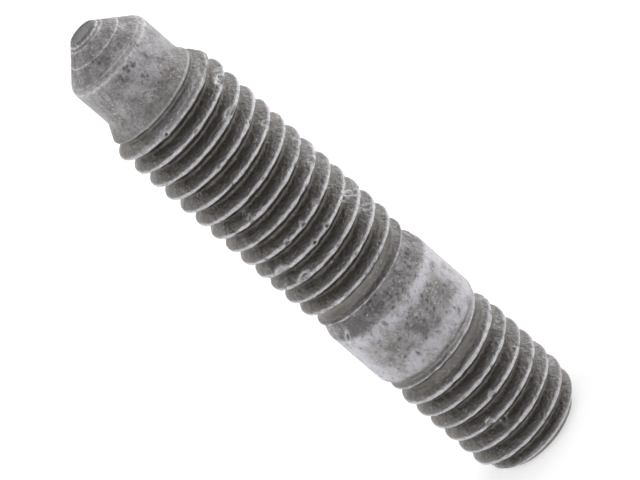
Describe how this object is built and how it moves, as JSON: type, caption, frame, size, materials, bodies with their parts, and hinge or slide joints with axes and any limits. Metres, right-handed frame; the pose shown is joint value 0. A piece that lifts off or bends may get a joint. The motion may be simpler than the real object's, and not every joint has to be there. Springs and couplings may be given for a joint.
{
  "type": "exhaust manifold stud",
  "caption": "Steel stud with a short and a long M8 thread, a plain collar between them, and a dog point with a conical nose.",
  "frame": {"origin": "centre of the flat end face of the short thread, which the stud stands on", "axes": "+Z along the stud's axis, from the flat end up to the dog point"},
  "size_m": [0.0078, 0.0078, 0.0385],
  "materials": {
    "steel": "plain dark steel, worn bright on the thread crests"
  },
  "bodies": {
    "root": {"stud": "steel"}
  },
  "joints": []
}
